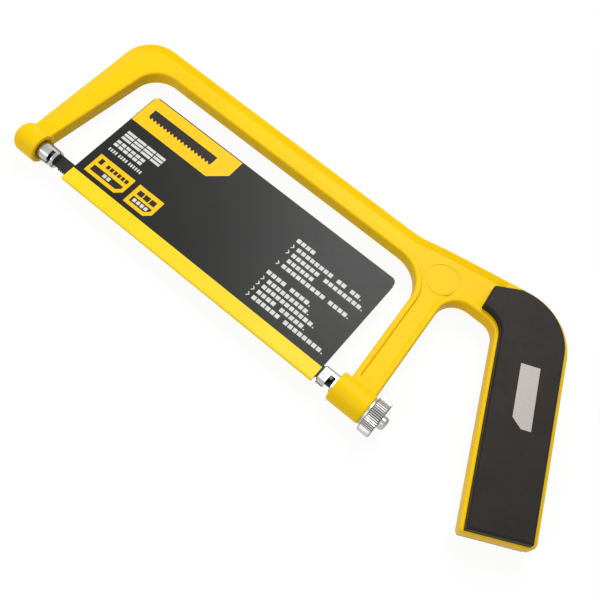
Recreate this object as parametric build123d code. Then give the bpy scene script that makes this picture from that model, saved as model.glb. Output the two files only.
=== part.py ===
from build123d import *
import math
import os

os.makedirs("parts", exist_ok=True)

# Mini hacksaw, lying flat on its side. X runs along the blade from the front boss to the handle,
# Y runs from the teeth to the spine, and Z is square to the flat of the saw. Lengths are in
# millimetres and angles in degrees. The pieces are drawn about the front blade pin. At the end
# they are all moved, so that the origin lies under the middle of the saw, at its lowest level.

# Blade
PIN_SPAN = 150.0  # between the two cross pins
BLADE_WIDTH = 6.5
BLADE_THICKNESS = 0.65
BLADE_END = 2.4  # from a pin to the end of the blade
PIN_RADIUS = 0.8
PIN_LENGTH = 6.4
TOOTH_PITCH = 1.06
TOOTH_DEPTH = 0.7
TOOTHLESS_END = 7.0
TOOTH_RAKE = 0.75  # where a tooth's tip starts, as a share of the pitch
TOOTH_TIP = 0.98  # where it ends

# Frame casting
THROAT_DEPTH = 64.5  # blade line to the spine
SPINE_WIDTH = 11.7
FRAME_THICKNESS = 7.2
EDGE_ROUND = 1.1
FRONT_ARM_REACH = 16.4  # front pin to the outside of the front arm
FRONT_ARM_WIDTH = 8.9  # at the blade line
FRONT_ARM_FLARE = 5.7  # its inside leans back by this angle
REAR_ARM_GAP = 6.2  # rear pin to the rear arm, at the blade line
REAR_ARM_WIDTH = 12.4
REAR_ARM_LEAN = 3.7
BOSS_RADIUS = 6.7
BOSS_ROUND = 1.0
FRONT_BOSS_NOSE_ROUND = 4.2
FRONT_BOSS_START = -19.2
FRONT_BOSS_END = -6.5
REAR_BOSS_GAP = 2.7  # rear pin to the rear boss
REAR_BOSS_LENGTH = 16.0
BOW_OUTER_RADIUS = 15.0
RISE_RADIUS = 30.0
BROW_RADIUS = 120.0
BOW_FRONT_RADIUS = 12.0
BOW_REAR_RADIUS = 16.0
FOOT_RADIUS = 1.6
LEAST_RADIUS = 0.3  # of any inset corner

# Junction and handle core
RISE_START = 10.5  # where the spine starts to climb, ahead of the rear pin
RISE_LENGTH = 12.5
RISE_ANGLE = 14.4
SHOULDER_ANGLE = 10.8
SHOULDER_SHARE = 0.825  # radius of the shoulder, as a share of the handle's width
FINGER_GAP = 23.0  # rear arm to handle, along the top of the gap
FINGER_GAP_DROP = 0.8  # top of the finger gap below the inside of the spine
FINGER_GAP_FRONT_RADIUS = 10.0
FINGER_GAP_REAR_RADIUS = 8.0
HANDLE_ANGLE = 66.2  # the handle's front edge, below the blade line
HANDLE_WIDTH = 31.5
HANDLE_TAPER = 1.1
HANDLE_LENGTH = 86.6  # along its front edge
BUTT_SKEW = 2.25
BUTT_RADIUS = 3.0
RING_RADIUS = 8.1  # cast ring on the junction
RING_BAND = 1.5
RING_DEPTH = 0.25
RING_BEHIND_PIN = 8.7

# Recess in the two faces of the frame
RECESS_DEPTH = 1.0
OUTER_RIM = 1.0
OUTER_SLOPE = 2.6  # width of the sloping wall inside the outer rim
INNER_RIM = 2.2
INNER_SLOPE = 0.7
GAP_RIM = 2.4
SOFT_SLOPE = 3.5  # where the recess runs out beside the finger gap
RECESS_FOOT = 8.2  # blade line to the foot of the recess

# Grip scales
SCALE_BACK_RIM = 2.3
SCALE_FRONT_RIM = 1.5
SCALE_BUTT_RIM = 0.6
SCALE_STANDS_PROUD = 3.4
SCALE_CLEARANCE = 0.1
SCALE_WALL = 2.0
SCALE_ROUND = 1.2
SCALE_NOSE_BEHIND_ARM = 14.0  # rear arm to the scale, along the top of the finger gap
SCALE_NOSE_ANGLE = 96.9
SCALE_NOSE_HEIGHT = 11.3
SCALE_BROW_ANGLE = 32.0
LEDGE_WIDTH = 2.4
WEB_THICKNESS = 2.6

# Grip screws, driven from the back
SCREW_PLACES = {"upper": 8.0, "middle": 44.0, "lower": 76.0}  # along the handle's front edge
SCREW_INSET = 15.0  # behind the handle's front edge
SCREW_RADIUS = 1.45
SCREW_HEAD_RADIUS = 2.8
SCREW_HEAD_HEIGHT = 1.6
SCREW_HEAD_SUNK = 0.1  # below the face of the back scale
SCREW_SLOT_REACH = 0.6  # half length of the slot, as a share of the head's radius
SCREW_THREAD_CLEARANCE = 0.05
SCREW_HOLE_CLEARANCE = 0.3
SCREW_END_WALL = 1.6
SCREW_PAD_RADIUS = 4.0
SCREW_SLOT_WIDTH = 0.9
SCREW_SLOT_DEPTH = 0.8

# Label plate
LABEL_LENGTH = 27.4
LABEL_WIDTH = 8.1
LABEL_THICKNESS = 0.4
LABEL_SUNK = 0.25
LABEL_CHAMFER = 4.0
LABEL_ALONG = 15.0  # down the handle's front edge
LABEL_INSET = 11.6

# Blade holders
HOLDER_RADIUS = 4.1
HOLDER_CHAMFER = 0.5
BLADE_SLOT_CLEARANCE = 0.17
NOTCH_CLEARANCE = 0.05
STUD_DEPTH = 8.0  # of the front stud in its blind bore
STUD_END = 2.0  # beyond the front pin
STUD_SLOT_DEPTH = 7.2
COUNTERBORE_RADIUS = 5.0
COUNTERBORE_DEPTH = 1.2
STUD_PIN_RADIUS = 1.25
STUD_PIN_TOP = 2.0
STUD_PIN_SUNK = 0.275  # below the back of the boss
ROD_END = 4.6  # ahead of the rear pin
ROD_FLAT = 3.5  # from its axis to each flat
ROD_CLEARANCE = 0.05
ROD_SHOULDER = 13.3  # rear boss face to the start of the thread
ROD_THREAD_RADIUS = 2.95
ROD_DOME_HEIGHT = 1.4
ROD_STANDS_OUT = 2.7
ROD_TRAVEL = 1.0  # one turn of the nut
ROD_SLOT_DEPTH = 8.9

# Tension nut and washer
WASHER_RADIUS = 6.2
WASHER_THICKNESS = 0.8
WASHER_BORE_CLEARANCE = 0.35
NUT_GAP = 0.05
NUT_RADIUS = 8.25
NUT_WIDTH = 5.7
NUT_CHAMFER = 0.6
KNURL_COUNT = 54
KNURL_DEPTH = 0.42

# Card folded over the teeth
CARD_START = 9.3  # behind the front pin
CARD_LENGTH = 135.0
CARD_TOP = 53.1
CARD_CREASE = 2.2
CARD_FOLD_BELOW_TEETH = 2.0
CARD_THICKNESS = 0.45
CARD_CLEARANCE = 0.12
CARD_FOLD_EASE = 0.48  # from the lowest tooth room to the fold's centre
CARD_SPREAD = 0.6
CARD_CORNER = 2.6
CARD_HEEL = 1.3

face_height = FRAME_THICKNESS / 2
seat_height = face_height - RECESS_DEPTH
scale_height = face_height + SCALE_STANDS_PROUD
spine_top = THROAT_DEPTH + SPINE_WIDTH
shoulder_radius = SHOULDER_SHARE * HANDLE_WIDTH
screw_seat = SCREW_HEAD_HEIGHT + SCREW_HEAD_SUNK - scale_height
rear_boss_start = PIN_SPAN + REAR_BOSS_GAP
rear_boss_end = rear_boss_start + REAR_BOSS_LENGTH
nut_start = rear_boss_end + WASHER_THICKNESS + NUT_GAP


def direction(angle):
    """Unit step along an angle in the XY plane."""
    return Vector(math.cos(math.radians(angle)), math.sin(math.radians(angle)))


def crossing(point_a, angle_a, point_b, angle_b):
    """Point where two straight lines meet, each given by a point and an angle."""
    along_a = direction(angle_a)
    normal_b = direction(angle_b + 90)
    reach = (Vector(point_b) - Vector(point_a)).dot(normal_b) / along_a.dot(normal_b)
    return Vector(point_a) + along_a * reach


def profile(edges):
    """Face inside a clockwise ring of straight edges, each a point, an angle, the radius of the
    corner where it starts, and how far the edge is moved inwards."""
    corners, radii = [], []
    for number, (point, angle, radius, inset) in enumerate(edges):
        last_point, last_angle, _, last_inset = edges[number - 1]
        here = Vector(point) + direction(angle - 90) * inset
        before = Vector(last_point) + direction(last_angle - 90) * last_inset
        corners.append(crossing(before, last_angle, here, angle))
        turn = (angle - last_angle + 180) % 360 - 180
        if turn < 0:
            radii.append(max(radius - max(inset, last_inset), LEAST_RADIUS))
        else:
            radii.append(radius + min(inset, last_inset))
    return make_face(FilletPolyline(*corners, radius=radii, close=True))


def rod_x(radius, start, end):
    """Cylinder about the blade line, from one X to another."""
    return Pos((start + end) / 2, 0, 0) * Rot(0, 90, 0) * Cylinder(radius, end - start)


def rod_z(radius, x, y, low, high):
    """Upright cylinder between two levels."""
    return Pos(x, y, (low + high) / 2) * Cylinder(radius, high - low)


def block(x, y, z):
    """Box from three pairs of limits."""
    sizes = [limits[1] - limits[0] for limits in (x, y, z)]
    middle = [sum(limits) / 2 for limits in (x, y, z)]
    return Pos(*middle) * Box(*sizes)


def slab(face, low, high):
    """Straight prism on a face, between two levels."""
    return extrude(Pos(0, 0, low) * face, high - low)


def both_sides(solid):
    """A solid and its mirror image below the middle plane of the saw."""
    return [solid, mirror(solid, Plane.XY)]


# Straight edges of the frame's outline, in order round it
front_inner_x = FRONT_ARM_WIDTH - FRONT_ARM_REACH
rear_front_x = PIN_SPAN + REAR_ARM_GAP
rear_back_x = rear_front_x + REAR_ARM_WIDTH
gap_top = THROAT_DEPTH - FINGER_GAP_DROP
rise_foot = Vector(PIN_SPAN - RISE_START, spine_top)
rise_head = rise_foot + Vector(RISE_LENGTH, RISE_LENGTH * math.tan(math.radians(RISE_ANGLE)))
gap_front = crossing((rear_back_x, 0), REAR_ARM_LEAN - 90, (0, gap_top), 180)
gap_rear = gap_front + Vector(FINGER_GAP, 0)
down_handle = direction(-HANDLE_ANGLE)
across_handle = direction(90 - HANDLE_ANGLE)
butt = gap_rear + down_handle * HANDLE_LENGTH
handle_back = gap_rear + across_handle * HANDLE_WIDTH


def frame_edges(outer=0.0, rise=0.0, gap=0.0, arm=0.0, foot=0.0):
    """The frame's ring of edges, moved inwards by different amounts in different places."""
    return [
        ((-FRONT_ARM_REACH, 0), 90, FOOT_RADIUS, outer),
        ((0, spine_top), 0, BOW_OUTER_RADIUS, outer),
        (rise_foot, RISE_ANGLE, RISE_RADIUS, rise),
        (rise_head, SHOULDER_ANGLE, BROW_RADIUS, rise),
        (handle_back, -HANDLE_ANGLE - HANDLE_TAPER, shoulder_radius, outer),
        (butt, BUTT_SKEW - HANDLE_ANGLE - 90, BUTT_RADIUS, outer),
        (butt, 180 - HANDLE_ANGLE, FOOT_RADIUS, gap),
        (gap_front, 180, FINGER_GAP_REAR_RADIUS, gap),
        ((rear_back_x, 0), REAR_ARM_LEAN - 90, FINGER_GAP_FRONT_RADIUS, arm),
        ((0, 0), 180, FOOT_RADIUS, foot),
        ((rear_front_x, 0), 90 + REAR_ARM_LEAN, FOOT_RADIUS, arm),
        ((0, THROAT_DEPTH), 180, BOW_REAR_RADIUS, arm),
        ((front_inner_x, 0), -90 - FRONT_ARM_FLARE, BOW_FRONT_RADIUS, arm),
        ((0, 0), 180, FOOT_RADIUS, foot),
    ]


# Outline of a grip scale's seat
scale_nose = gap_front + Vector(SCALE_NOSE_BEHIND_ARM, 0)
scale_brow = scale_nose + direction(SCALE_NOSE_ANGLE) * (SCALE_NOSE_HEIGHT + GAP_RIM)


def scale_edges(extra):
    """The ring of edges of a scale's seat, moved inwards by an extra amount."""
    return [
        (scale_nose, SCALE_NOSE_ANGLE, EDGE_ROUND, extra),
        (scale_brow, SCALE_BROW_ANGLE, EDGE_ROUND, extra),
        (rise_head, SHOULDER_ANGLE, SCALE_ROUND, SCALE_BACK_RIM + extra),
        (handle_back, -HANDLE_ANGLE - HANDLE_TAPER, shoulder_radius, SCALE_BACK_RIM + extra),
        (butt, BUTT_SKEW - HANDLE_ANGLE - 90, BUTT_RADIUS, SCALE_BUTT_RIM + extra),
        (butt, 180 - HANDLE_ANGLE, FOOT_RADIUS, SCALE_FRONT_RIM + extra),
        (gap_front, 180, FINGER_GAP_REAR_RADIUS, GAP_RIM + extra),
    ]


screw_points = {
    name: gap_rear + down_handle * along + across_handle * SCREW_INSET
    for name, along in SCREW_PLACES.items()
}


def make_bosses():
    """The two barrels about the blade line, with rounded ends."""
    front = rod_x(BOSS_RADIUS, FRONT_BOSS_START, FRONT_BOSS_END)
    front_rims = front.edges().filter_by(GeomType.CIRCLE).sort_by(Axis.X)
    front = fillet(front_rims[0], FRONT_BOSS_NOSE_ROUND)
    front_rims = front.edges().filter_by(GeomType.CIRCLE).sort_by(Axis.X)
    front = fillet(front_rims[-1], BOSS_ROUND / 2)
    rear = rod_x(BOSS_RADIUS, rear_boss_start, rear_boss_end)
    rear = fillet(rear.edges().filter_by(GeomType.CIRCLE), BOSS_ROUND)
    return front + rear


def make_recess():
    """The channel in one face: arms, spine and junction, with a wide slope at the outer rim."""
    opening = profile(frame_edges(OUTER_RIM, OUTER_RIM, GAP_RIM, INNER_RIM, RECESS_FOOT))
    floor = profile(
        frame_edges(
            OUTER_RIM + OUTER_SLOPE,
            OUTER_RIM + OUTER_SLOPE,
            GAP_RIM + SOFT_SLOPE,
            INNER_RIM + INNER_SLOPE,
            RECESS_FOOT + INNER_SLOPE,
        )
    )
    channel = loft([Pos(0, 0, seat_height) * floor, Pos(0, 0, face_height) * opening], ruled=True)
    ahead_of_nose = block(
        (-2 * FRONT_ARM_REACH, scale_nose.X + GAP_RIM),
        (-2 * BOSS_RADIUS, 2 * spine_top),
        (0, 2 * face_height),
    )
    return channel & ahead_of_nose


def make_double_d(radius, flat, start, end):
    """Round bar about the blade line with two flats, square to Z."""
    return rod_x(radius, start, end) & block((start, end), (-radius, radius), (-flat, flat))


def make_frame():
    """The casting: outline, bosses, recesses, seats for the scales, and bores."""
    body = extrude(profile(frame_edges()), face_height, both=True)
    faces = body.edges().group_by(Axis.Z)
    body = fillet(faces[0] + faces[-1], EDGE_ROUND)
    body += make_bosses()

    seat = slab(profile(scale_edges(0)), seat_height, 2 * face_height)
    core = slab(profile(scale_edges(LEDGE_WIDTH)), WEB_THICKNESS / 2, face_height)
    for point in screw_points.values():
        core -= rod_z(SCREW_PAD_RADIUS, point.X, point.Y, 0, seat_height)
    ring_x = PIN_SPAN + RING_BEHIND_PIN
    ring_y = THROAT_DEPTH + OUTER_RIM
    ring = rod_z(RING_RADIUS, ring_x, ring_y, seat_height - RING_DEPTH, face_height)
    ring -= rod_z(RING_RADIUS - RING_BAND, ring_x, ring_y, 0, 2 * face_height)
    for cut in (make_recess(), seat, core, ring):
        for side in both_sides(cut):
            body -= side

    for point in screw_points.values():
        hole = SCREW_RADIUS + SCREW_HOLE_CLEARANCE
        body -= rod_z(hole, point.X, point.Y, -face_height, face_height)
    body -= rod_x(HOLDER_RADIUS, FRONT_BOSS_END - STUD_DEPTH, FRONT_BOSS_END)
    body -= rod_x(COUNTERBORE_RADIUS, FRONT_BOSS_END - COUNTERBORE_DEPTH, FRONT_BOSS_END)
    body -= make_double_d(
        HOLDER_RADIUS + ROD_CLEARANCE, ROD_FLAT + ROD_CLEARANCE, rear_boss_start, rear_boss_end
    )
    body -= stud_pin_place(-BOSS_RADIUS)
    return body


def stud_pin_place(bottom):
    """Cylinder across the front boss, halfway down the stud's bore."""
    x = FRONT_BOSS_END - (STUD_DEPTH + COUNTERBORE_DEPTH) / 2
    return rod_z(STUD_PIN_RADIUS, x, 0, bottom, STUD_PIN_TOP)


def make_scale():
    """The front grip scale: hollow underneath, with three screw bosses."""
    scale = slab(profile(scale_edges(SCALE_CLEARANCE)), seat_height, scale_height)
    scale = fillet(scale.edges().group_by(Axis.Z)[-1], SCALE_ROUND)
    hollow = slab(
        profile(scale_edges(SCALE_CLEARANCE + SCALE_WALL)), seat_height, scale_height - SCALE_WALL
    )
    for point in screw_points.values():
        hollow -= rod_z(SCREW_PAD_RADIUS - SCALE_CLEARANCE, point.X, point.Y, 0, scale_height)
    return scale - hollow


def make_front_scale():
    """Front scale with blind pilot holes and the sunk place for the label."""
    scale = make_scale()
    for point in screw_points.values():
        radius = SCREW_RADIUS + SCREW_THREAD_CLEARANCE
        scale -= rod_z(radius, point.X, point.Y, seat_height, scale_height - SCREW_END_WALL)
    return scale - slab(label_face(), scale_height - LABEL_SUNK, scale_height)


def make_back_scale():
    """Back scale with clearance holes and sunk seats for the screw heads."""
    scale = mirror(make_scale(), Plane.XY)
    for point in screw_points.values():
        hole = SCREW_RADIUS + SCREW_HOLE_CLEARANCE
        sink = SCREW_HEAD_RADIUS + SCREW_HOLE_CLEARANCE
        scale -= rod_z(hole, point.X, point.Y, -scale_height, -seat_height)
        scale -= rod_z(sink, point.X, point.Y, -scale_height, screw_seat)
    return scale


def make_screw(point):
    """Pan-head screw with a cross slot, its head towards the back of the saw."""
    top = scale_height - SCREW_END_WALL - SCREW_THREAD_CLEARANCE
    shank = rod_z(SCREW_RADIUS, point.X, point.Y, screw_seat, top)
    low = screw_seat - SCREW_HEAD_HEIGHT
    head = rod_z(SCREW_HEAD_RADIUS, point.X, point.Y, low, screw_seat)
    head = fillet(head.edges().group_by(Axis.Z)[0], SCREW_HEAD_HEIGHT / 3)
    reach = SCREW_HEAD_RADIUS * SCREW_SLOT_REACH
    half = SCREW_SLOT_WIDTH / 2
    depth = (low, low + SCREW_SLOT_DEPTH)
    across = block((point.X - reach, point.X + reach), (point.Y - half, point.Y + half), depth)
    along = block((point.X - half, point.X + half), (point.Y - reach, point.Y + reach), depth)
    return head + shank - across - along


def label_face():
    """Outline of the label plate: a rectangle with one corner cut off."""
    start = gap_rear + down_handle * LABEL_ALONG + across_handle * LABEL_INSET
    far = start + down_handle * LABEL_LENGTH
    corners = [
        start,
        start + across_handle * LABEL_WIDTH,
        far + across_handle * LABEL_WIDTH,
        far + across_handle * LABEL_CHAMFER,
        far - down_handle * LABEL_CHAMFER,
    ]
    return make_face(Polyline(*corners, close=True))


def make_label():
    """Thin plate that lies in its sunk place on the front scale."""
    low = scale_height - LABEL_SUNK
    return slab(label_face(), low, low + LABEL_THICKNESS)


def blade_slot(start, end):
    """Gap for the blade in a holder, open above and below."""
    half = BLADE_THICKNESS / 2 + BLADE_SLOT_CLEARANCE
    return block((start, end), (-2 * HOLDER_RADIUS, 2 * HOLDER_RADIUS), (-half, half))


def pin_notch(start, end):
    """Square notch that the cross pin hooks into, open towards the teeth."""
    roof = PIN_RADIUS + NOTCH_CLEARANCE
    return block((start, end), (-2 * HOLDER_RADIUS, roof), (-HOLDER_RADIUS, HOLDER_RADIUS))


def make_stud():
    """Front blade holder, fixed in the blind bore of the front boss."""
    stud = rod_x(HOLDER_RADIUS, FRONT_BOSS_END - STUD_DEPTH, STUD_END)
    stud = chamfer(stud.edges().filter_by(GeomType.CIRCLE).sort_by(Axis.X)[-1], HOLDER_CHAMFER)
    reach = PIN_RADIUS + NOTCH_CLEARANCE
    stud -= blade_slot(STUD_END - STUD_SLOT_DEPTH, STUD_END)
    stud -= pin_notch(-reach, reach)
    return stud - stud_pin_place(-BOSS_RADIUS)


def make_stud_pin():
    """Cross pin that locks the stud, a little short of the back of the boss."""
    return stud_pin_place(STUD_PIN_SUNK - BOSS_RADIUS)


def make_rod():
    """Rear blade holder: flats that slide in the boss, then the thread with its domed end."""
    start = PIN_SPAN - ROD_END
    shoulder = rear_boss_start + ROD_SHOULDER
    tip = nut_start + NUT_WIDTH + ROD_STANDS_OUT
    bar = make_double_d(HOLDER_RADIUS, ROD_FLAT, start, shoulder)
    bar = chamfer(bar.edges().group_by(Axis.X)[0], HOLDER_CHAMFER)
    thread = rod_x(ROD_THREAD_RADIUS, shoulder, tip)
    thread = fillet(thread.edges().filter_by(GeomType.CIRCLE).sort_by(Axis.X)[-1], ROD_DOME_HEIGHT)
    reach = PIN_RADIUS + NOTCH_CLEARANCE
    rod = bar + thread - blade_slot(start, start + ROD_SLOT_DEPTH)
    return rod - pin_notch(PIN_SPAN - reach, PIN_SPAN + reach + ROD_TRAVEL)


def make_washer():
    """Thrust washer between the rear boss and the nut."""
    end = rear_boss_end + WASHER_THICKNESS
    bore = ROD_THREAD_RADIUS + WASHER_BORE_CLEARANCE
    return rod_x(WASHER_RADIUS, rear_boss_end, end) - rod_x(bore, rear_boss_end, end)


def make_nut():
    """Tension nut with a straight knurl of V grooves."""
    end = nut_start + NUT_WIDTH
    points = []
    for number in range(2 * KNURL_COUNT):
        radius = NUT_RADIUS - KNURL_DEPTH * (number % 2)
        points.append(direction(180 * number / KNURL_COUNT) * radius)
    knurled = extrude(Plane.YZ.offset(nut_start) * make_face(Polyline(*points, close=True)), NUT_WIDTH)
    blank = rod_x(NUT_RADIUS, nut_start, end)
    blank = chamfer(blank.edges().filter_by(GeomType.CIRCLE), NUT_CHAMFER)
    return (knurled & blank) - rod_x(ROD_THREAD_RADIUS + ROD_CLEARANCE, nut_start, end)


def make_blade():
    """Toothed strip with a hole at each end."""
    back, tips = BLADE_WIDTH / 2, -BLADE_WIDTH / 2
    gullets = tips + TOOTH_DEPTH
    start, end = -BLADE_END, PIN_SPAN + BLADE_END
    points = [(start, back), (start, gullets)]
    count = int((end - start - 2 * TOOTHLESS_END) / TOOTH_PITCH)
    for number in range(count):
        x = start + TOOTHLESS_END + number * TOOTH_PITCH
        tip_start, tip_end = x + TOOTH_PITCH * TOOTH_RAKE, x + TOOTH_PITCH * TOOTH_TIP
        points += [(x, gullets), (tip_start, tips), (tip_end, tips)]
    last = start + TOOTHLESS_END + count * TOOTH_PITCH
    points += [(last, gullets), (end, gullets), (end, back)]
    half = BLADE_THICKNESS / 2
    blade = slab(make_face(Polyline(*points, close=True)), -half, half)
    for x in (0, PIN_SPAN):
        blade -= rod_z(PIN_RADIUS, x, 0, -half, half)
    return blade


def make_blade_pin(x):
    """Cross pin pressed through one end of the blade."""
    return rod_z(PIN_RADIUS, x, 0, -PIN_LENGTH / 2, PIN_LENGTH / 2)


def fold_section(inside):
    """Half-hairpin outline of the card in the YZ plane, at a depth below its outer surface."""
    half = BLADE_THICKNESS / 2 + CARD_CLEARANCE + CARD_THICKNESS - inside
    centre = CARD_THICKNESS - BLADE_WIDTH / 2 - CARD_FOLD_BELOW_TEETH + CARD_FOLD_EASE
    top = CARD_TOP + inside
    front = [(top, half + CARD_SPREAD), (CARD_CREASE, half), (centre, half)]
    back = [(y, -z) for y, z in reversed(front)]
    fold = ThreePointArc((centre, half), (centre - half, 0), (centre, -half))
    ring = Polyline(*front) + fold + Polyline(*back) + Line(back[-1], front[0])
    return make_face(Plane.YZ * ring)


def make_card():
    """Stiff card folded round the teeth, its two plies spreading a little towards the top."""
    section = fold_section(0) - fold_section(CARD_THICKNESS)
    card = extrude(Pos(CARD_START, 0, 0) * section, CARD_LENGTH)
    low = -BLADE_WIDTH / 2 - CARD_FOLD_BELOW_TEETH - CARD_THICKNESS
    end = CARD_START + CARD_LENGTH
    ring = FilletPolyline(
        (CARD_START, low),
        (CARD_START, CARD_TOP),
        (end, CARD_TOP),
        (end, low),
        radius=[CARD_HEEL, CARD_CORNER, CARD_CORNER, CARD_HEEL],
        close=True,
    )
    return card & slab(make_face(ring), -face_height, face_height)


pieces = {
    "frame": make_frame(),
    "grip_scale_front": make_front_scale(),
    "grip_scale_back": make_back_scale(),
    "label_plate": make_label(),
    "front_blade_stud": make_stud(),
    "front_stud_pin": make_stud_pin(),
    "tension_rod": make_rod(),
    "thrust_washer": make_washer(),
    "tension_nut": make_nut(),
    "blade": make_blade(),
    "blade_pin_front": make_blade_pin(0),
    "blade_pin_rear": make_blade_pin(PIN_SPAN),
    "blade_card": make_card(),
}
for name, point in screw_points.items():
    pieces["grip_screw_" + name] = make_screw(point)

whole = Compound(list(pieces.values())).bounding_box()
origin = Vector((whole.min.X + whole.max.X) / 2, (whole.min.Y + whole.max.Y) / 2, whole.min.Z)
for name, piece in pieces.items():
    export_step(Pos(-origin.X, -origin.Y, -origin.Z) * piece, f"parts/{name}.step")
print("saw", whole.size, "front blade pin", -origin)
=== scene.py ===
import bpy
import bmesh
import math
from mathutils import Euler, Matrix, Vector


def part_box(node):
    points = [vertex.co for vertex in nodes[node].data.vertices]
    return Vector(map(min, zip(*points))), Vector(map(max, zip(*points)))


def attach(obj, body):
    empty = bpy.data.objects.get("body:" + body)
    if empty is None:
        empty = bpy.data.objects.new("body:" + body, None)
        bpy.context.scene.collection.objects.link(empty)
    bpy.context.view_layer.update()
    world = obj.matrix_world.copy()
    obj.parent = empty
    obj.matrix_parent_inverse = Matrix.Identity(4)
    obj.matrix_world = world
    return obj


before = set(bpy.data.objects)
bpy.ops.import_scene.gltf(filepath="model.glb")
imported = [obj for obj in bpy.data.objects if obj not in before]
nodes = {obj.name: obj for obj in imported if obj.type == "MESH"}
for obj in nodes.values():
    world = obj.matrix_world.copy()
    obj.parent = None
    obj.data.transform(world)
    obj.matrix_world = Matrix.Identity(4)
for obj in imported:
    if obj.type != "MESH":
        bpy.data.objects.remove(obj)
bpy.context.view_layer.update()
MM = 0.001

# Saw coordinates, in millimetres: X from the front blade pin towards the handle, Y from the blade
# line towards the spine, Z up from the middle plane of the saw.
pin_low, pin_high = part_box("blade_pin_front")
pin = (pin_low + pin_high) / 2
card_low, card_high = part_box("blade_card")
card_start = (card_low.x - pin.x) / MM
card_top = (card_high.y - pin.y) / MM
card_half = (card_high.z - card_low.z) / 2 / MM
nut_low, nut_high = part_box("tension_nut")
nut_radius = (nut_high.y - nut_low.y) / 2
KNURL_DEPTH = 0.42
KNURL_UNSHADED = 0.25  # share of the depth above which a ridge is free of the painted groove shade
KNURL_FACE = 1.2  # depths below the ridges where the plain end faces begin

# The card, as part.py folds it
CARD_CREASE = 2.2  # above the blade line
CARD_SPREAD = 0.6  # of each ply, from the crease to the top
STRIP_SHORT = 0.2  # the yellow strip stops this far below the crease
INK = 0.02  # thickness of a printed patch


def place(x, y, z):
    """A point given in saw coordinates, in the row frame and in metres."""
    return pin + Vector((x, y, z)) * MM


# ---------------------------------------------------------------- materials


class Shader:
    """A node material under construction."""

    def __init__(self, name):
        self.material = bpy.data.materials.new(name)
        self.material.use_nodes = True
        self.tree = self.material.node_tree
        self.bsdf = self.tree.nodes["Principled BSDF"]

    def add(self, kind, **settings):
        node = self.tree.nodes.new(kind)
        for key, value in settings.items():
            if hasattr(node, key):
                setattr(node, key, value)
            else:
                node.inputs[key].default_value = value
        return node

    def link(self, a, b):
        self.tree.links.new(a, b)

    def coords(self):
        return self.add("ShaderNodeTexCoord").outputs["Object"]

    def stretched(self, scale):
        node = self.add("ShaderNodeMapping")
        node.inputs["Scale"].default_value = scale
        self.link(self.coords(), node.inputs["Vector"])
        return node.outputs["Vector"]

    def noise(self, scale, detail=3.0, rough=0.5, vector=None):
        node = self.add("ShaderNodeTexNoise")
        node.inputs["Scale"].default_value = scale
        node.inputs["Detail"].default_value = detail
        node.inputs["Roughness"].default_value = rough
        self.link(vector or self.coords(), node.inputs["Vector"])
        return node.outputs["Fac"]

    def ramp(self, fac, stops):
        node = self.add("ShaderNodeValToRGB")
        elements = node.color_ramp.elements
        while len(elements) < len(stops):
            elements.new(0.5)
        for element, (position, colour) in zip(elements, stops):
            element.position = position
            element.color = (*colour, 1.0)
        self.link(fac, node.inputs["Fac"])
        return node.outputs["Color"]

    def value(self, fac, low, high):
        node = self.add("ShaderNodeMapRange")
        node.inputs["To Min"].default_value = low
        node.inputs["To Max"].default_value = high
        self.link(fac, node.inputs["Value"])
        return node.outputs["Result"]

    def mix(self, fac, a, b):
        node = self.add("ShaderNodeMix", data_type="RGBA")
        self.link(fac, node.inputs["Factor"])
        for value, socket in ((a, node.inputs[6]), (b, node.inputs[7])):
            if isinstance(value, tuple):
                socket.default_value = (*value, 1.0)
            else:
                self.link(value, socket)
        return node.outputs[2]

    def math(self, operation, a, b=None):
        node = self.add("ShaderNodeMath", operation=operation)
        for value, socket in ((a, node.inputs[0]), (b, node.inputs[1])):
            if isinstance(value, (int, float)):
                socket.default_value = value
            elif value is not None:
                self.link(value, socket)
        return node.outputs[0]

    def colour(self, source):
        self.link(source, self.bsdf.inputs["Base Color"])

    def rough(self, source):
        self.link(source, self.bsdf.inputs["Roughness"])

    def bump(self, height, strength, distance):
        node = self.add("ShaderNodeBump")
        node.inputs["Strength"].default_value = strength
        node.inputs["Distance"].default_value = distance
        self.link(height, node.inputs["Height"])
        self.link(node.outputs["Normal"], self.bsdf.inputs["Normal"])

    def set(self, **values):
        for key, value in values.items():
            self.bsdf.inputs[key.replace("_", " ")].default_value = value
        return self


def srgb(r, g, b):
    """A colour given as 0 to 255 sRGB values, in linear light."""
    out = []
    for c in (r / 255, g / 255, b / 255):
        out.append(c / 12.92 if c <= 0.04045 else ((c + 0.055) / 1.055) ** 2.4)
    return tuple(out)


def frame_paint():
    s = Shader("yellow_paint").set(Specular_IOR_Level=0.1)
    drift = s.noise(28, 2)
    s.colour(s.ramp(drift, [(0.3, srgb(250, 200, 2)), (0.7, srgb(252, 207, 5))]))
    s.rough(s.value(s.noise(160, 3), 0.34, 0.44))
    s.bump(s.noise(900, 2), 0.12, 0.00012)
    return s.material


def grip_plastic():
    s = Shader("grip_plastic").set(Specular_IOR_Level=0.14)
    blotch = s.noise(70, 4, 0.6)
    base = s.ramp(blotch, [(0.3, srgb(33, 29, 26)), (0.75, srgb(42, 37, 34))])
    speck = s.ramp(s.noise(1500, 2, 0.7), [(0.68, (0, 0, 0)), (0.8, (1, 1, 1))])
    s.colour(s.mix(s.math("MULTIPLY", speck, 0.35), base, srgb(110, 104, 98)))
    s.rough(s.value(s.noise(400, 3), 0.42, 0.58))
    s.bump(s.noise(2600, 3, 0.6), 0.35, 0.00008)
    return s.material


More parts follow.
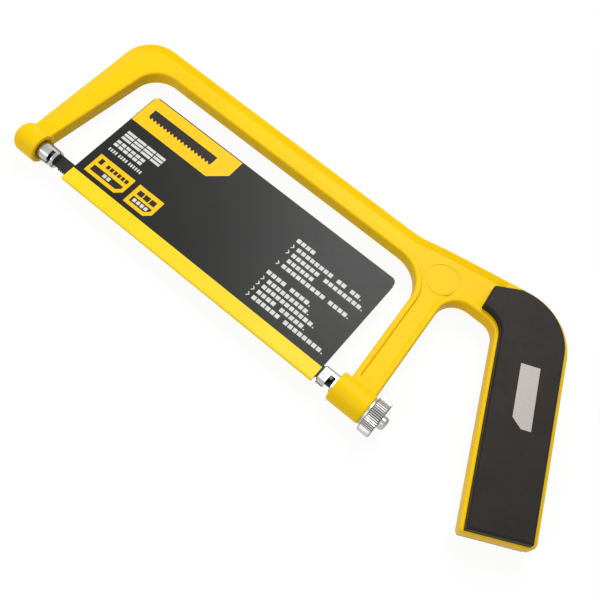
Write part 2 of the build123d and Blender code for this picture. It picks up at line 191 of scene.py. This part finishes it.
def label_silver():
    s = Shader("label_silver").set(Metallic=0.2, Specular_IOR_Level=0.25)
    grain = s.noise(2600, 3, 0.7)
    s.colour(s.ramp(grain, [(0.3, srgb(152, 146, 143)), (0.7, srgb(190, 184, 180))]))
    s.rough(s.value(grain, 0.38, 0.55))
    s.bump(grain, 0.2, 0.00004)
    return s.material


def chrome():
    s = Shader("chrome").set(Metallic=1.0)
    s.colour(s.ramp(s.noise(220, 2), [(0.3, srgb(168, 168, 166)), (0.7, srgb(190, 189, 187))]))
    s.rough(s.value(s.noise(700, 3), 0.1, 0.2))
    s.bump(s.noise(1600, 2), 0.05, 0.00004)
    return s.material


def knurled_chrome_groove_shade():
    """Chrome plating with painted shade in the grooves between the ridges: the grooves are painted dark, and
    the ridges and plain end faces bright.
    """
    s = Shader("knurled_chrome_groove_shade").set(Metallic=1.0)
    part = s.add("ShaderNodeSeparateXYZ")
    s.link(s.coords(), part.inputs[0])
    across = s.math("SUBTRACT", part.outputs["Y"], pin.y)
    up = s.math("SUBTRACT", part.outputs["Z"], pin.z)
    square = s.math("ADD", s.math("MULTIPLY", across, across), s.math("MULTIPLY", up, up))
    # painted shade: mask from the depth below the ridges, measured from the nut's axis
    radius = s.math("SQRT", square)
    ridge = s.add("ShaderNodeMapRange")
    s.link(radius, ridge.inputs["Value"])
    ridge.inputs["From Min"].default_value = nut_radius - KNURL_DEPTH * MM
    ridge.inputs["From Max"].default_value = nut_radius - KNURL_UNSHADED * KNURL_DEPTH * MM
    inner = s.math("LESS_THAN", radius, nut_radius - KNURL_FACE * KNURL_DEPTH * MM)
    unshaded = s.math("MAXIMUM", ridge.outputs["Result"], inner)
    # painted shade: dark in the grooves, bright on the ridges and the plain end faces
    s.colour(s.ramp(unshaded, [(0.0, srgb(42, 42, 44)), (1.0, srgb(200, 199, 196))]))
    s.rough(s.value(s.noise(900, 3), 0.16, 0.28))
    return s.material


def steel(name, low, high, roughness):
    s = Shader(name).set(Metallic=0.9)
    grain = s.noise(900, 3, 0.6, s.stretched((1, 1, 8)))
    s.colour(s.ramp(grain, [(0.3, low), (0.7, high)]))
    s.rough(s.value(grain, roughness, roughness + 0.15))
    s.bump(grain, 0.12, 0.00005)
    return s.material


def blade_paint():
    s = Shader("blade_paint").set(Specular_IOR_Level=0.2)
    grain = s.noise(600, 3, 0.6, s.stretched((0.15, 1, 1)))
    s.colour(s.ramp(grain, [(0.3, srgb(28, 29, 27)), (0.7, srgb(38, 39, 36))]))
    s.rough(s.value(grain, 0.35, 0.5))
    s.bump(grain, 0.15, 0.00005)
    return s.material


def card_stock():
    """Coated black card with a printed yellow strip along the fold."""
    s = Shader("card_stock").set(Specular_IOR_Level=0.18)
    split = s.add("ShaderNodeSeparateXYZ")
    s.link(s.coords(), split.inputs[0])
    strip = s.math("LESS_THAN", split.outputs["Y"], pin.y + (CARD_CREASE - STRIP_SHORT) * MM)
    mottle = s.noise(35, 4, 0.6)
    black = s.ramp(mottle, [(0.3, srgb(24, 25, 23)), (0.75, srgb(31, 32, 29))])
    yellow = s.ramp(mottle, [(0.3, srgb(250, 214, 26)), (0.75, srgb(252, 222, 40))])
    s.colour(s.mix(strip, black, yellow))
    s.rough(s.value(s.noise(220, 4, 0.7), 0.26, 0.36))
    s.bump(s.noise(500, 3), 0.08, 0.0001)
    return s.material


def ink(name, low, high):
    s = Shader(name).set(Specular_IOR_Level=0.16)
    s.colour(s.ramp(s.noise(400, 2), [(0.3, low), (0.7, high)]))
    s.rough(s.value(s.noise(220, 4, 0.7), 0.32, 0.45))
    return s.material


paint = frame_paint()
grip = grip_plastic()
silver = label_silver()
plating = chrome()
pin_steel = steel("pin_steel", srgb(150, 148, 145), srgb(176, 174, 170), 0.3)
# nut plating with painted shade in the knurl grooves
nut_plating_groove_shade = knurled_chrome_groove_shade()
zinc = steel("zinc", srgb(170, 170, 168), srgb(196, 195, 190), 0.3)
dark_steel = steel("dark_steel", srgb(60, 60, 60), srgb(82, 82, 80), 0.35)
blade_black = blade_paint()
card = card_stock()
yellow_ink = ink("yellow_ink", srgb(250, 197, 14), srgb(252, 204, 22))
white_ink = ink("white_ink", srgb(206, 206, 202), srgb(222, 222, 218))
black_ink = ink("black_ink", srgb(36, 30, 26), srgb(44, 38, 32))

FINISHES = {
    "frame": paint,
    "grip_scale_front": grip,
    "grip_scale_back": grip,
    "label_plate": silver,
    "front_blade_stud": plating,
    "front_stud_pin": pin_steel,
    "tension_rod": plating,
    "thrust_washer": zinc,
    "tension_nut": nut_plating_groove_shade,
    "blade": blade_black,
    "blade_pin_front": dark_steel,
    "blade_pin_rear": dark_steel,
    "blade_card": card,
    "grip_screw_upper": zinc,
    "grip_screw_middle": zinc,
    "grip_screw_lower": zinc,
}
for name, material in FINISHES.items():
    node = nodes[name]
    if not node.data.materials:
        node.data.materials.append(material)
    for number in range(len(node.data.materials)):
        node.material_slots[number].material = material


# ---------------------------------------------------------------- print on the card


def ply_height(y):
    """Height of the card's front face above the middle plane."""
    flat = card_half - CARD_SPREAD
    return flat + CARD_SPREAD * max(0.0, (y - CARD_CREASE) / (card_top - CARD_CREASE))


def printed(name, outlines, material, layer=1):
    """Thin patches on the card's front face, one for each closed outline."""
    mesh = bpy.data.meshes.new(name)
    bm = bmesh.new()
    for outline in outlines:
        low = [bm.verts.new(place(x, y, ply_height(y) + (layer - 1) * INK)) for x, y in outline]
        high = [bm.verts.new(place(x, y, ply_height(y) + layer * INK)) for x, y in outline]
        bm.faces.new(high)
        bm.faces.new(low[::-1])
        for k in range(len(outline)):
            j = (k + 1) % len(outline)
            bm.faces.new((low[k], low[j], high[j], high[k]))
    bmesh.ops.recalc_face_normals(bm, faces=bm.faces)
    bm.to_mesh(mesh)
    bm.free()
    piece = bpy.data.objects.new(name, mesh)
    bpy.context.scene.collection.objects.link(piece)
    mesh.materials.append(material)
    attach(piece, "card")
    return piece


def box_outline(x0, x1, y0, y1):
    return [(x0, y0), (x1, y0), (x1, y1), (x0, y1)]


def cut_corner(x0, x1, y0, y1, cut, lift):
    """A rectangle with its lower right corner cut off."""
    return [(x0, y0), (x1 - cut, y0), (x1, y0 + lift), (x1, y1), (x0, y1)]


GLYPH_GAP = 0.5  # between two blocks in a row
BAR_GAP = 0.55  # between the bars of a large block
BULLET_WIDTH = 1.4
BULLET_HALF = 0.7  # half height, as a share of the width
BULLET_STROKE = 0.4  # as a share of the width
TOOTH_LEAN = 0.7  # where a drawn tooth has its tip and how deep it is, as a share of its pitch


def row_of_blocks(start, end, y0, y1, count):
    """Small blocks in a row, which stand for a line of small print."""
    pitch = (end - start + GLYPH_GAP) / count
    starts = [start + k * pitch for k in range(count)]
    return [box_outline(x, x + pitch - GLYPH_GAP, y0, y1) for x in starts]


def barred_blocks(start, end, y0, y1, count, bars):
    """A row of blocks, each split into level bars, which stands for a line of large print."""
    pitch = (y1 - y0 + BAR_GAP) / bars
    rows = [(y0 + k * pitch, y0 + (k + 1) * pitch - BAR_GAP) for k in range(bars)]
    return [block for low, high in rows for block in row_of_blocks(start, end, low, high, count)]


def bullet(x, y):
    """An arrowhead in front of a line of print."""
    half, stroke = BULLET_WIDTH * BULLET_HALF, BULLET_WIDTH * BULLET_STROKE
    tip = x + BULLET_WIDTH
    upper = [(x, y + half), (x + stroke, y + half), (tip, y)]
    lower = [(x + stroke, y - half), (x, y - half), (tip - stroke, y)]
    return upper + lower


def saw_sign(x0, x1, y0, y1, teeth):
    """Generic picture of a toothed blade: a bar with a plain zigzag edge."""
    step = (x1 - x0) / teeth
    points = [(x0, y1), (x0, y0)]
    for k in range(teeth):
        points += [(x0 + (k + TOOTH_LEAN) * step, y0 - TOOTH_LEAN * step), (x0 + (k + 1) * step, y0)]
    return points[::-1] + [(x1, y1)]


# The layout of the print, in saw coordinates
BADGES = [(13.1, 32.8), (35.4, 49.1)]  # start and end of each
# Start, end, low edge, high edge and count of the blocks in each row
BADGE_PRINT = [(15.0, 17.0, 10.4, 13.2, 1), (19.2, 31.2, 10.7, 12.6, 6), (37.4, 47.0, 10.2, 12.7, 3)]
SAW_SIGN = (14.0, 50.0, 43.2, 47.2, 18)
# The same, and then the bars in each block
TITLES = [(13.2, 34.8, 26.3, 31.3, 4, 3), (13.2, 28.8, 21.5, 25.0, 6, 2)]
# Start, end and count of the blocks in each group
SUBTITLE = [(13.3, 17.8, 4), (18.9, 23.6, 4), (24.7, 31.6, 6)]
SUBTITLE_LOW, SUBTITLE_HIGH = 18.2, 19.8
BAR_PRINT = [(21.0, 24.9, 2), (38.1, 46.0, 4)]
BAR_PRINT_LOW, BAR_PRINT_HIGH = 6.6, 8.3
BADGE_LOW, BADGE_HIGH, BADGE_CUT = 4.2, 14.7, 2.7
BAR_LOW, BAR_HIGH, BAR_INSET, BAR_CUT = 5.9, 8.9, 1.7, 1.8
BAND_END, BAND_LOW, BAND_CUT, BAND_LIFT = 59.7, 36.7, 7.3, 7.0
BAND_MARGIN_START, BAND_MARGIN_TOP = 0.3, 0.5

band_start, band_top = card_start + BAND_MARGIN_START, card_top - BAND_MARGIN_TOP
band = cut_corner(band_start, BAND_END, BAND_LOW, band_top, BAND_CUT, BAND_LIFT)
printed("card_band", [band], yellow_ink)
badges = [cut_corner(x0, x1, BADGE_LOW, BADGE_HIGH, BADGE_CUT, BADGE_CUT) for x0, x1 in BADGES]
printed("card_badges", badges, yellow_ink)
dark = [cut_corner(x0 + BAR_INSET, x1 - BAR_INSET, BAR_LOW, BAR_HIGH, BAR_CUT, BAR_CUT) for x0, x1 in BADGES]
for row in BADGE_PRINT:
    dark += row_of_blocks(*row)
dark.append(saw_sign(*SAW_SIGN))
printed("card_dark_print", dark, black_ink, 2)

bright = []
for row in TITLES:
    bright += barred_blocks(*row)
for x0, x1, count in SUBTITLE:
    bright += row_of_blocks(x0, x1, SUBTITLE_LOW, SUBTITLE_HIGH, count)
PRINT_ROWS = [
    # middle of the row, bullet or not, then the start, end and count of each group of blocks
    (39.5, False, [(101.2, 110.6, 4)]),
    (36.0, True, [(104.0, 122.8, 8), (125.5, 129.9, 2), (132.5, 137.0, 2)]),
    (32.6, True, [(104.0, 118.2, 6), (121.2, 140.2, 8)]),
    (29.3, False, [(104.2, 117.8, 6)]),
    (26.0, True, [(104.0, 126.4, 9), (128.7, 138.0, 4)]),
    (19.8, False, [(101.2, 110.8, 4), (113.5, 123.0, 4)]),
    (16.4, True, [(104.2, 125.0, 9)]),
    (13.3, True, [(104.0, 130.0, 11)]),
    (10.1, True, [(104.0, 113.3, 4), (116.0, 127.8, 5)]),
    (6.9, True, [(104.0, 118.0, 6), (120.6, 139.5, 8)]),
]
ROW_HALF = 0.95
BULLET_PLACE, BULLET_DROP = 101.2, 0.2
STOP_GAP, STOP_SIZE = 0.6, 0.55  # the square stop after a row
for y, marked, groups in PRINT_ROWS:
    for x0, x1, count in groups:
        bright += row_of_blocks(x0, x1, y - ROW_HALF, y + ROW_HALF, count)
    if marked:
        bright.append(bullet(BULLET_PLACE, y - BULLET_DROP))
    if len(groups) > 1 or marked:
        stop, foot = groups[-1][1] + STOP_GAP, y - ROW_HALF
        bright.append(box_outline(stop, stop + STOP_SIZE, foot, foot + STOP_SIZE))
printed("card_white_print", bright, white_ink)
bar_print = []
for x0, x1, count in BAR_PRINT:
    bar_print += row_of_blocks(x0, x1, BAR_PRINT_LOW, BAR_PRINT_HIGH, count)
printed("card_badge_print", bar_print, white_ink, 3)


# ---------------------------------------------------------------- floor, light and camera


def link_math(tree, operation, a, b):
    """A math node fed by two sockets, or by a socket and a number."""
    node = tree.nodes.new("ShaderNodeMath")
    node.operation = operation
    tree.links.new(a, node.inputs[0])
    if isinstance(b, float):
        node.inputs[1].default_value = b
    else:
        tree.links.new(b, node.inputs[1])
    return node.outputs[0]


def seen_directly(tree):
    """1 for camera, glossy and transmission rays, and 0 for the light that falls on the saw."""
    path = tree.nodes.new("ShaderNodeLightPath")
    seen = link_math(tree, "MAXIMUM", path.outputs["Is Camera Ray"], path.outputs["Is Glossy Ray"])
    return link_math(tree, "MAXIMUM", seen, path.outputs["Is Transmission Ray"])


FLOOR_SIZE = 6  # metres
FLOOR_GREY = 0.6
FLOOR_GLOW = 1.06
GLOW_SHARE = 0.88  # the rest of the floor takes the shadow
WORLD_LIGHT = 0.34
WORLD_SEEN = 1.0


def build_floor():
    """Pale floor that shows white and keeps the saw's shadow."""
    bpy.ops.mesh.primitive_plane_add(size=FLOOR_SIZE)
    floor = bpy.context.object
    floor.name = "floor"
    material = bpy.data.materials.new("floor_white")
    material.use_nodes = True
    tree = material.node_tree
    tree.nodes.clear()
    out = tree.nodes.new("ShaderNodeOutputMaterial")
    diffuse = tree.nodes.new("ShaderNodeBsdfDiffuse")
    diffuse.inputs["Color"].default_value = (FLOOR_GREY, FLOOR_GREY, FLOOR_GREY, 1)
    glow = tree.nodes.new("ShaderNodeEmission")
    glow.inputs["Color"].default_value = (1, 1, 1, 1)
    glow.inputs["Strength"].default_value = FLOOR_GLOW
    share = link_math(tree, "MULTIPLY", seen_directly(tree), GLOW_SHARE)
    mix = tree.nodes.new("ShaderNodeMixShader")
    tree.links.new(share, mix.inputs["Fac"])
    tree.links.new(diffuse.outputs[0], mix.inputs[1])
    tree.links.new(glow.outputs[0], mix.inputs[2])
    tree.links.new(mix.outputs[0], out.inputs["Surface"])
    floor.data.materials.append(material)


def build_world():
    """Even light all round, which shows white to the camera and in reflections."""
    world = bpy.data.worlds.new("studio")
    bpy.context.scene.world = world
    world.use_nodes = True
    tree = world.node_tree
    back = tree.nodes["Background"]
    level = tree.nodes.new("ShaderNodeMapRange")
    level.inputs["To Min"].default_value = WORLD_LIGHT
    level.inputs["To Max"].default_value = WORLD_SEEN
    tree.links.new(seen_directly(tree), level.inputs["Value"])
    tree.links.new(level.outputs["Result"], back.inputs["Strength"])
    back.inputs["Color"].default_value = (1, 1, 1, 1)


SAW_MIDDLE = (75, 30, 0)


def soft_box(name, x, y, z, size, power):
    """Square area lamp at a place in saw coordinates, aimed at the saw."""
    data = bpy.data.lights.new(name, "AREA")
    data.shape = "SQUARE"
    data.size = size * MM
    data.energy = power
    lamp = bpy.data.objects.new(name, data)
    bpy.context.scene.collection.objects.link(lamp)
    lamp.location = place(x, y, z)
    aim = place(*SAW_MIDDLE) - lamp.location
    lamp.rotation_euler = aim.to_track_quat("-Z", "Y").to_euler()


build_floor()
build_world()
LAMPS = [
    # name, place in saw coordinates, size in millimetres and power in watts
    ("key", -150, 700, 600, 500, 2.8),
    ("sheen", 60, 420, 700, 320, 2.4),
    ("fill", -100, -500, 500, 500, 2.2),
]
for lamp in LAMPS:
    soft_box(*lamp)

LENS = 52.17
CAMERA_PLACE = (181.85, -125.53, 317.79)
CAMERA_TURN = (25.361, -7.561, 38.903)
camera_data = bpy.data.cameras.new("camera")
camera = bpy.data.objects.new("camera", camera_data)
bpy.context.scene.collection.objects.link(camera)
camera_data.lens = LENS
camera_data.sensor_width = 36.0
camera_data.clip_start = 0.01
camera.location = place(*CAMERA_PLACE)
camera.rotation_euler = Euler([math.radians(a) for a in CAMERA_TURN], "XYZ")
bpy.context.scene.camera = camera

bpy.context.scene.view_settings.view_transform = "Standard"
